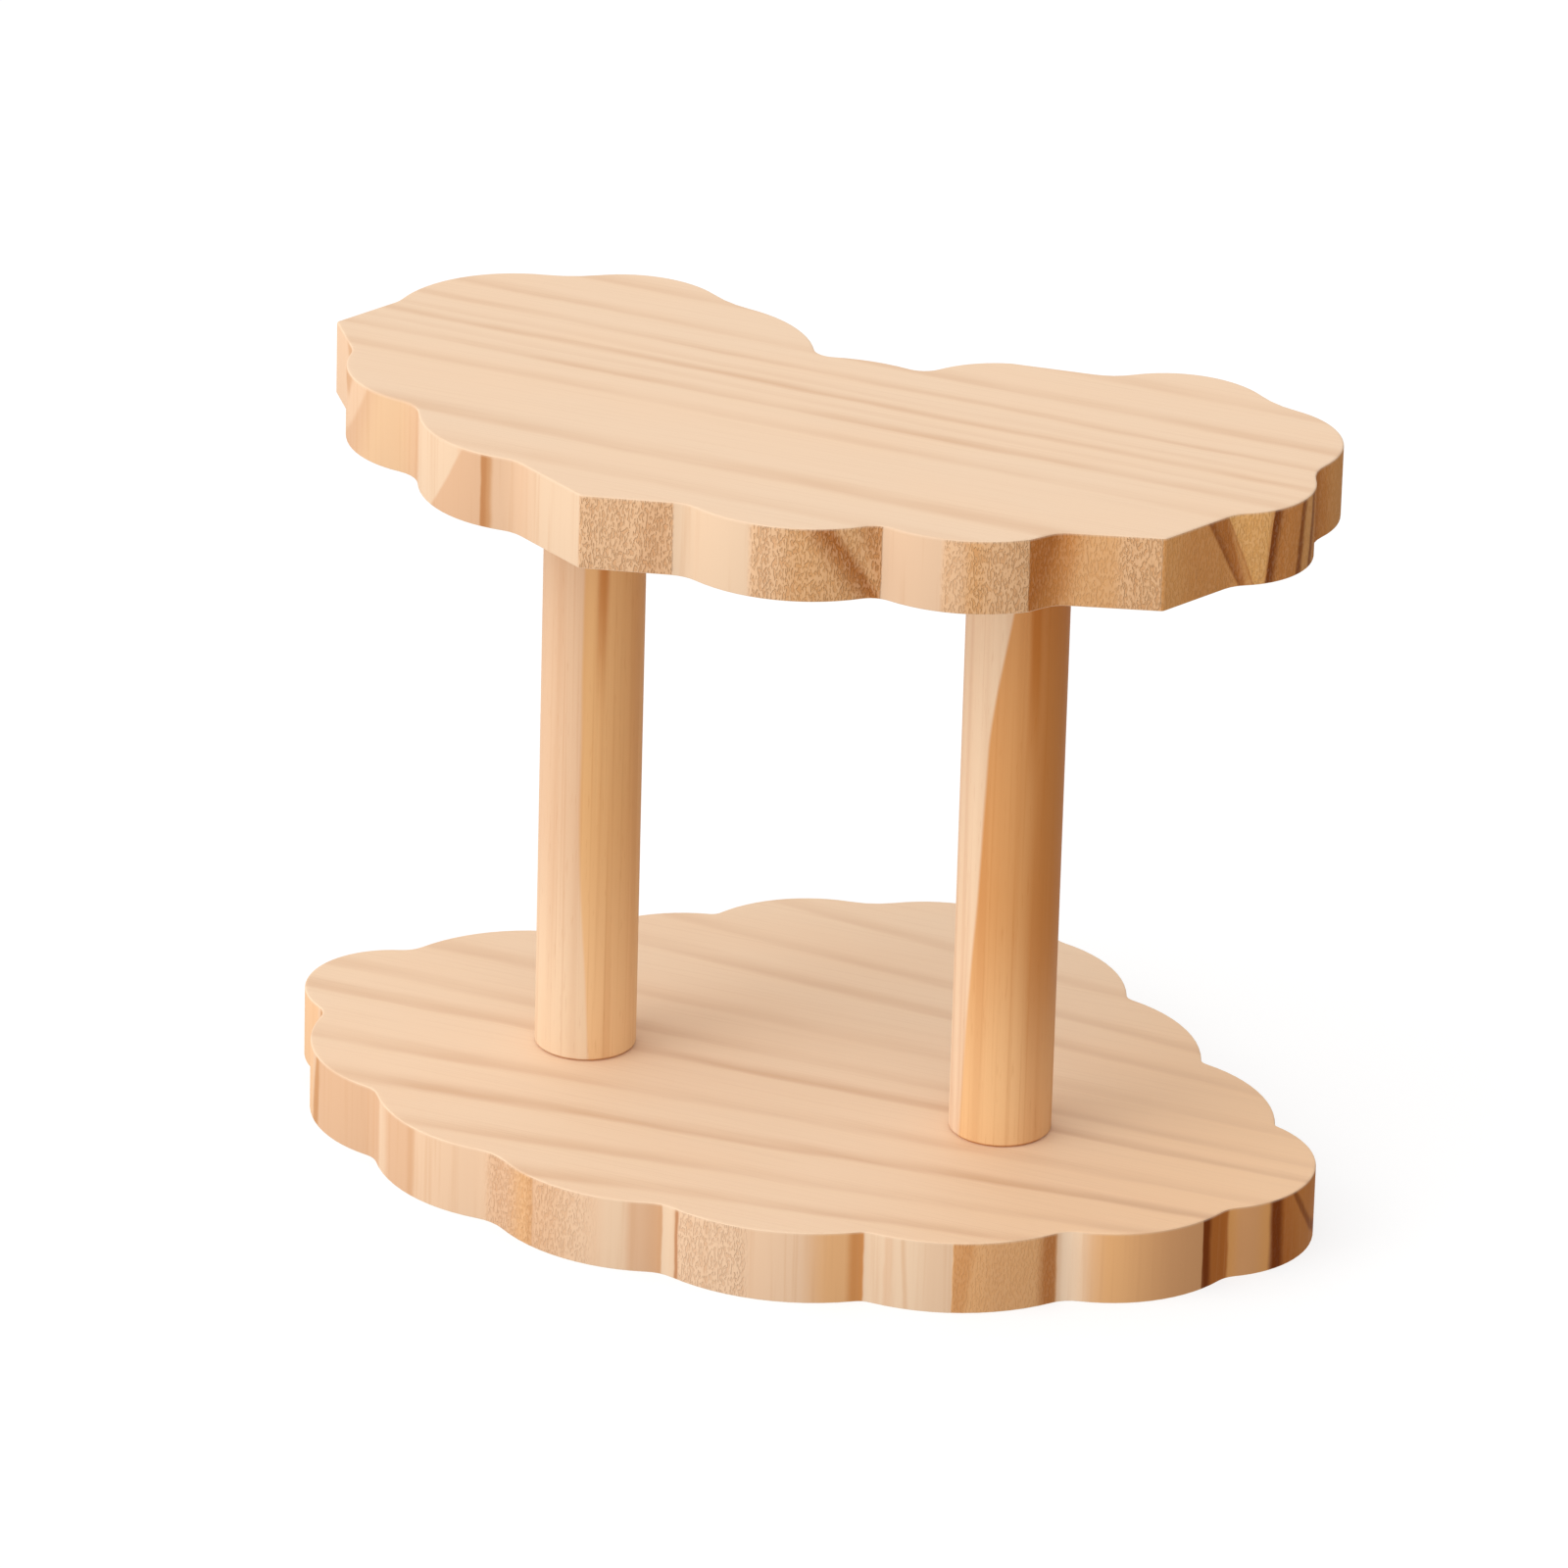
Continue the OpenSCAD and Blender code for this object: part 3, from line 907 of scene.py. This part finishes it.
# A thin line of dust and painted contact shade where a post meets a board.
JOINT_DUST_SHADE_FROM, JOINT_DUST_SHADE_TO, JOINT_DUST_SHADE_COVER = 0.9, 0.2, 0.5
POST_GLOSS = 0.1
POST_ROUGHNESS = 0.5
LINE_DULLNESS = 0.15
POST_RELIEF = 0.08
POST_LINES = Grain(size=(0.9, 0.9, 130), detail=3, apart=3, low=0.52, high=0.76, most=0.22)
POST_SHEETS = Grain(size=(3.2, 3.2, 160), detail=1, apart=5, low=0.45, high=0.68, most=0.16)
POST_FLECKS = Grain(size=(0.5, 0.5, 7), detail=2, apart=8, low=0.6, high=0.75, most=0.15)


def joint_dust_and_shade(tree, z):
    """A share of dust and painted contact shade at both ends of a post."""
    middle = (base_high.z + top_low.z) / 2 / MM
    half = (top_low.z - base_high.z) / 2 / MM
    from_middle = calculate(tree, "ABSOLUTE", calculate(tree, "SUBTRACT", z, middle))
    return fade(tree, from_middle, half - JOINT_DUST_SHADE_FROM, half - JOINT_DUST_SHADE_TO, 0.0, JOINT_DUST_SHADE_COVER)


def post_finish(name, centre, post):
    """Pale wood on the left of the border and darker wood on its right."""
    material, tree, shader = start_material(name)
    place, x, y, z = millimetres(tree, (centre.x, centre.y, 0))
    waver = drift(tree, place, BORDER_WAVER, post.seed)
    across = calculate(tree, "ADD", slant(tree, x, y), waver)
    up = fade(tree, z, FOOT_LIGHT, FOOT_DARK)
    pale = paint(tree, up, post.pale_foot, post.pale)
    dark = dark_wood(tree, across, z, up, post)
    colour = paint(tree, past_border(tree, across, z, post), pale, dark)
    lines = grain(tree, place, POST_LINES, post.seed)
    sheets = grain_share(tree, place, POST_SHEETS, post.seed)
    flecks = grain_share(tree, place, POST_FLECKS, post.seed)
    # The last cover is the line of dust and painted shade at both ends.
    for covered in (sheets, share(tree, lines, POST_LINES), flecks, joint_dust_and_shade(tree, z)):
        colour = paint(tree, covered, colour, POST_BROWN)
    feed(tree, shader.inputs["Base Color"], colour)
    rough = calculate(tree, "MULTIPLY_ADD", lines, LINE_DULLNESS, POST_ROUGHNESS)
    feed(tree, shader.inputs["Roughness"], rough)
    feed(tree, shader.inputs["Specular IOR Level"], POST_GLOSS)
    relief(tree, shader, lines, POST_RELIEF)
    return material


print("the foot is pale up to", FOOT_LIGHT, "mm and darker from", FOOT_DARK, "mm")

# %% [markdown]
# The two posts
#
# Each post has its own border and its own colours on either side. The left one is nearly
# plain, and its border drifts left with height. The right one has a pale strip that widens
# upwards and a right side browned with painted shade. border is where the darker wood
# starts, in millimetres from the axis, tilt moves it with each millimetre of height, and
# climb moves it between two heights. side is how much painted shade browns the right side,
# and streak is where the brown streak lies. A post keeps the shape of its solid, bevels and
# all.

# %% Turn the posts
Post = namedtuple("Post", (
    "border", "tilt", "climb", "climb_from", "climb_to",
    "pale", "pale_foot", "dark", "dark_foot", "side", "streak", "seed",
))
post_looks = {
    "left": Post(
        border=1.5, tilt=0.0, climb=-3.7, climb_from=0, climb_to=85,
        pale=(0.74, 0.485, 0.305, 1), pale_foot=(0.85, 0.64, 0.44, 1),
        dark=(0.75, 0.43, 0.19, 1), dark_foot=(0.86, 0.56, 0.30, 1),
        side=0.0, streak=2.3, seed=40.0,
    ),
    "right": Post(
        border=-10.5, tilt=0.0375, climb=4.2, climb_from=118, climb_to=165,
        pale=(0.83, 0.605, 0.41, 1), pale_foot=(0.87, 0.65, 0.46, 1),
        dark=(0.67, 0.32, 0.115, 1), dark_foot=(0.87, 0.55, 0.28, 1),
        # side is the painted shade on the right side of this post.
        side=0.6, streak=4.2, seed=60.0,
    ),
}
for side, look in post_looks.items():
    finish = post_finish("pine_" + side + "_post", post_places[side], look)
    node = side + "_post"
    make_piece(merged_copy(node), "round_" + side + "_post", (finish,), node)


# %% [markdown]
# Zinc on steel
#
# The screws are bright zinc on steel. The lathe leaves fine marks round the axis, and the
# zinc has a few dull spots. Both are noise: the marks are stretched flat and change the
# roughness, and the spots change the colour.

# %% Steel finish
ZINC = (0.62, 0.63, 0.62, 1)
ZINC_DULL = (0.5, 0.5, 0.47, 1)
MARK_RELIEF = 0.02
TURNING_MARKS = Grain(
    size=(4, 4, 0.12), detail=2, apart=0, low=0.3, high=0.7, least=0.25, most=0.42
)
ZINC_SPOTS = Grain(size=(0.8, 0.8, 0.8), detail=2, apart=4, low=0.45, high=0.7)


def steel_finish():
    """Bright zinc on steel, with fine turning marks and a few dull spots."""
    material, tree, shader = start_material("zinc_steel")
    place = millimetres(tree)[0]
    marks = grain(tree, place, TURNING_MARKS)
    colour = paint(tree, grain_share(tree, place, ZINC_SPOTS), ZINC, ZINC_DULL)
    feed(tree, shader.inputs["Base Color"], colour)
    feed(tree, shader.inputs["Metallic"], 1.0)
    feed(tree, shader.inputs["Roughness"], share(tree, marks, TURNING_MARKS))
    relief(tree, shader, marks, MARK_RELIEF)
    return material


steel = steel_finish()
print("screws are finished in", steel.name)

# %% [markdown]
# The body of a screw
#
# The solids give each screw its room: a countersunk head and a plain rod. A real screw is
# turned, so here a profile is spun round the axis for the head, the shank and the pointed
# core. The rod's outer radius is half of the head's, and the core lies one thread depth
# inside it.

# %% Spin the body
TURN_STEPS = 24
TIP_LENGTH = 5 * MM
THREAD_DEPTH = 0.6 * MM
HEAD_FLAT = 0.96
HEAD_BEVEL = 0.15 * MM
TURNED_MERGE = 0.001 * MM


def screw_body(low, high, axis_place, head, core):
    """A closed solid of revolution from points of radius and height."""
    profile = (
        (0, low.z), (head * HEAD_FLAT, low.z), (head, low.z + HEAD_BEVEL),
        (core, low.z + head - core), (core, high.z - TIP_LENGTH), (0, high.z),
    )
    shape = bmesh.new()
    verts = [shape.verts.new((axis_place.x + r, axis_place.y, h)) for r, h in profile]
    edges = [shape.edges.new(pair) for pair in zip(verts, verts[1:])]
    bmesh.ops.spin(
        shape, geom=verts + edges, cent=axis_place, axis=(0, 0, 1), dvec=(0, 0, 0),
        angle=math.tau, steps=TURN_STEPS, use_merge=True, use_duplicate=False,
    )
    bmesh.ops.remove_doubles(shape, verts=shape.verts, dist=TURNED_MERGE)
    bmesh.ops.recalc_face_normals(shape, faces=shape.faces)
    return shape


print("a screw is turned in", TURN_STEPS, "steps")

# %% [markdown]
# The cross slot
#
# The slot is a sunken cross in the flat of the head. A Boolean cut could make it, but four
# cuts across the flat in each direction mark the same cross, and extruding its faces keeps
# the mesh clean. The faces that were extruded are deleted, or they would cover the slot.


# %% Cut the cross slot
SLOT_LENGTH = 4.4 * MM
SLOT_WIDTH = 0.9 * MM
SLOT_DEPTH = 1.6 * MM
DOWNWARDS = -0.99


def head_faces(shape):
    """The faces that look straight down."""
    return [face for face in shape.faces if face.normal.z < DOWNWARDS]


def mark_line(shape, axis_place, direction, reach):
    """Cuts the flat of the head along a line across one direction."""
    flat = head_faces(shape)
    around = set(flat)
    for face in flat:
        around.update(face.edges)
        around.update(face.verts)
    bmesh.ops.bisect_plane(
        shape, geom=list(around), plane_co=axis_place + direction * reach, plane_no=direction
    )
    shape.normal_update()


def cut_cross_slot(shape, axis_place):
    """Marks a cross in the flat of the head and sinks it."""
    bmesh.ops.dissolve_faces(shape, faces=head_faces(shape))
    for direction in (Vector((1, 0, 0)), Vector((0, 1, 0))):
        for reach in (SLOT_LENGTH / 2, SLOT_WIDTH / 2, -SLOT_WIDTH / 2, -SLOT_LENGTH / 2):
            mark_line(shape, axis_place, direction, reach)
    cross = []
    for face in head_faces(shape):
        offset = face.calc_center_median() - axis_place
        near, far = sorted((abs(offset.x), abs(offset.y)))
        if near < SLOT_WIDTH / 2 and far < SLOT_LENGTH / 2:
            cross.append(face)
    sunk = bmesh.ops.extrude_face_region(shape, geom=cross)["geom"]
    bmesh.ops.delete(shape, geom=cross, context="FACES")
    floor_verts = [item for item in sunk if isinstance(item, bmesh.types.BMVert)]
    bmesh.ops.translate(shape, verts=floor_verts, vec=(0, 0, SLOT_DEPTH))
    return len(cross)


print("the slot is", round(SLOT_DEPTH / MM, 1), "mm deep")

# %% [markdown]
# The thread
#
# A thread is a triangle that goes round and up at once. Spin does just that when each step
# also has a lift. Its root lies a little inside the core, so that no gap shows, and it runs
# from where the thread starts to the tip.

# %% Wind the thread
THREAD_LENGTH = 30 * MM
THREAD_PITCH = 1.8 * MM
THREAD_HALF = 0.35 * THREAD_PITCH
THREAD_ROOT = 0.1 * MM


def wind_thread(shape, axis_place, start, core, outer):
    """A triangle spun and lifted round the core."""
    root = axis_place.x + core - THREAD_ROOT
    corners = (
        (root, start - THREAD_HALF), (axis_place.x + outer, start), (root, start + THREAD_HALF)
    )
    cap = shape.faces.new([shape.verts.new((x, axis_place.y, z)) for x, z in corners])
    turns = (THREAD_LENGTH - TIP_LENGTH) / THREAD_PITCH
    bmesh.ops.spin(
        shape, geom=[cap], cent=axis_place, axis=(0, 0, 1), angle=math.tau * turns,
        dvec=(0, 0, THREAD_PITCH / TURN_STEPS), steps=int(turns * TURN_STEPS),
        use_duplicate=False,
    )
    bmesh.ops.recalc_face_normals(shape, faces=shape.faces)


print("the thread rises", round(THREAD_PITCH / MM, 1), "mm in each turn")

# %% [markdown]
# The two screws
#
# Both screws are the same and differ only in their place, so a loop makes them. The head's
# radius is read from the solid, and the rest of the sizes follow from it.

# %% Make the screws
SCREW_SMOOTH_UP_TO = 35


def make_screw(side):
    """A countersunk wood screw in the room that its solid holds."""
    node = side + "_foot_screw"
    low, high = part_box(node)
    axis_place = Vector(((low.x + high.x) / 2, (low.y + high.y) / 2, 0))
    head = (high.x - low.x) / 2
    outer = head / 2
    core = outer - THREAD_DEPTH
    shape = screw_body(low, high, axis_place, head, core)
    print("slot cut from", cut_cross_slot(shape, axis_place), "faces")
    wind_thread(shape, axis_place, high.z - THREAD_LENGTH, core, outer)
    name = side + "_wood_screw"
    return make_piece(shape, name, (steel,), node, SCREW_SMOOTH_UP_TO)


for side in post_places:
    make_screw(side)


# %% [markdown]
# Dowel pins
#
# The pins already have their flutes and bevels as solids, so they stay, and only get their
# finish: beech, a pale pinkish wood with short dark flecks along the grain. Its tone is a
# broad noise and its flecks are a fine one, and the flecks are also a little duller.

# %% Beech finish for the pins
BEECH_PALE = (0.74, 0.50, 0.32, 1)
BEECH_PINK = (0.66, 0.42, 0.26, 1)
BEECH_DARK = (0.42, 0.22, 0.11, 1)
BEECH_RELIEF = 0.05
BEECH_TONE = Grain(size=(2.5, 2.5, 30), detail=2, apart=3, low=0.35, high=0.65)
BEECH_FLECKS = Grain(size=(0.35, 0.35, 2.2), detail=2, apart=0, low=0.58, high=0.7, most=0.6)
FLECK_DULLNESS = BEECH_FLECKS._replace(low=0.4, least=0.6, most=0.75)


def beech_finish():
    """Beech with upright flecks."""
    material, tree, shader = start_material("beech")
    place = millimetres(tree)[0]
    flecks = grain(tree, place, BEECH_FLECKS)
    colour = paint(tree, grain_share(tree, place, BEECH_TONE), BEECH_PALE, BEECH_PINK)
    colour = paint(tree, share(tree, flecks, BEECH_FLECKS), colour, BEECH_DARK)
    feed(tree, shader.inputs["Base Color"], colour)
    feed(tree, shader.inputs["Roughness"], share(tree, flecks, FLECK_DULLNESS))
    relief(tree, shader, flecks, BEECH_RELIEF)
    return material


beech = beech_finish()
for side in post_places:
    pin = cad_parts[side + "_head_pin"]
    pin.data.materials.clear()
    pin.data.materials.append(beech)
print("pins are finished in", beech.name)

# %% [markdown]
# The floor
#
# The rack stands on a plain white floor. Paper that only reflects would need so much light
# that the wood burns out, so the floor is greyish paper with a glow of its own: white to
# the camera, and a little darker where the rack keeps the light away. It doesn't show in
# the light or the reflections on the rack. Seen from below it is clear, so that the
# underside shows too.

# %% Floor
FLOOR_HALF = 8.0
FLOOR_PAINT = 0.30
FLOOR_GLOW = 0.74


def white_floor():
    """White for the camera where the light falls, greyer in the shadow, clear from below."""
    material = bpy.data.materials.new("white_floor")
    material.use_nodes = True
    tree = material.node_tree
    tree.nodes.remove(tree.nodes["Principled BSDF"])
    paper = tree.nodes.new("ShaderNodeBsdfDiffuse")
    paper.inputs["Color"].default_value = (FLOOR_PAINT, FLOOR_PAINT, FLOOR_PAINT, 1)
    glow = tree.nodes.new("ShaderNodeEmission")
    glow.inputs["Color"].default_value = (FLOOR_GLOW, FLOOR_GLOW, FLOOR_GLOW, 1)
    both = tree.nodes.new("ShaderNodeAddShader")
    clear = tree.nodes.new("ShaderNodeBsdfTransparent")
    facing = tree.nodes.new("ShaderNodeNewGeometry")
    pick = tree.nodes.new("ShaderNodeMixShader")
    tree.links.new(paper.outputs[0], both.inputs[0])
    tree.links.new(glow.outputs[0], both.inputs[1])
    tree.links.new(facing.outputs["Backfacing"], pick.inputs[0])
    tree.links.new(both.outputs[0], pick.inputs[1])
    tree.links.new(clear.outputs[0], pick.inputs[2])
    tree.links.new(pick.outputs[0], tree.nodes["Material Output"].inputs["Surface"])
    return material


sheet = bmesh.new()
bmesh.ops.create_grid(sheet, x_segments=1, y_segments=1, size=FLOOR_HALF)
floor_mesh = bpy.data.meshes.new("floor")
sheet.to_mesh(floor_mesh)
sheet.free()
floor_mesh.materials.append(white_floor())
floor = bpy.data.objects.new("floor", floor_mesh)
bpy.context.scene.collection.objects.link(floor)
floor.visible_diffuse = False
floor.visible_glossy = False
floor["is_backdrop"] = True
print("floor is", 2 * FLOOR_HALF, "m wide")

# %% [markdown]
# The light of the room
#
# Most of the light comes from the white room all round. It is a little brighter at the
# front left and above than at the back right, so the shading turns slowly and the shadows
# stay faint. What is seen of the room, straight, as a reflection or through glass, is plain
# white, and doesn't depend on how strong its light on the rack is.

# %% Room light
ROOM_LEVEL = 0.82
ROOM_TILT = (-0.45, -0.40, 0.24)
world = bpy.data.worlds.new("studio")
bpy.context.scene.world = world
world.use_nodes = True
room = world.node_tree
background = room.nodes["Background"]
seen = room.nodes.new("ShaderNodeLightPath").outputs
direction = room.nodes.new("ShaderNodeTexCoord")
towards = room.nodes.new("ShaderNodeVectorMath")
towards.operation = "DOT_PRODUCT"
room.links.new(direction.outputs["Generated"], towards.inputs[0])
towards.inputs[1].default_value = ROOM_TILT
level = calculate(room, "MULTIPLY_ADD", towards.outputs["Value"], ROOM_LEVEL, ROOM_LEVEL)
plain = calculate(room, "MAXIMUM", seen["Is Camera Ray"], seen["Is Glossy Ray"])
plain = calculate(room, "MAXIMUM", plain, seen["Is Transmission Ray"])
hidden = calculate(room, "SUBTRACT", 1.0, plain)
white = calculate(room, "MULTIPLY_ADD", level, hidden, plain)
room.links.new(white, background.inputs["Strength"])
background.inputs["Color"].default_value = (1, 1, 1, 1)
print("room light is", ROOM_LEVEL, "and tilts to the front left and up")

# %% [markdown]
# The key lamp
#
# One large round lamp at the front left adds a little direction, so that the right sides of
# the posts turn darker. It is as wide as a studio umbrella, which keeps its shadow soft.

# %% Key lamp
KEY_FROM = Vector((-0.55, -0.55, 0.63))
KEY_DISTANCE = 2.4
KEY_SIZE = 1.6
KEY_POWER = 11
lamp = bpy.data.lights.new("key", "AREA")
lamp.shape = "DISK"
lamp.size = KEY_SIZE
lamp.energy = KEY_POWER
key = bpy.data.objects.new("key", lamp)
key.location = CAMERA_TARGET + KEY_FROM.normalized() * KEY_DISTANCE
key.rotation_mode = "QUATERNION"
key.rotation_quaternion = KEY_FROM.to_track_quat("Z", "Y")
bpy.context.scene.collection.objects.link(key)
bpy.context.scene.view_settings.view_transform = "Standard"
print("key lamp of", KEY_POWER, "W at", KEY_DISTANCE, "m")

# %% [markdown]
# The size
#
# The looks must not change the size of the rack, so the box of the finished pieces is
# measured.

# %% Measure the finished pieces
low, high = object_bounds()
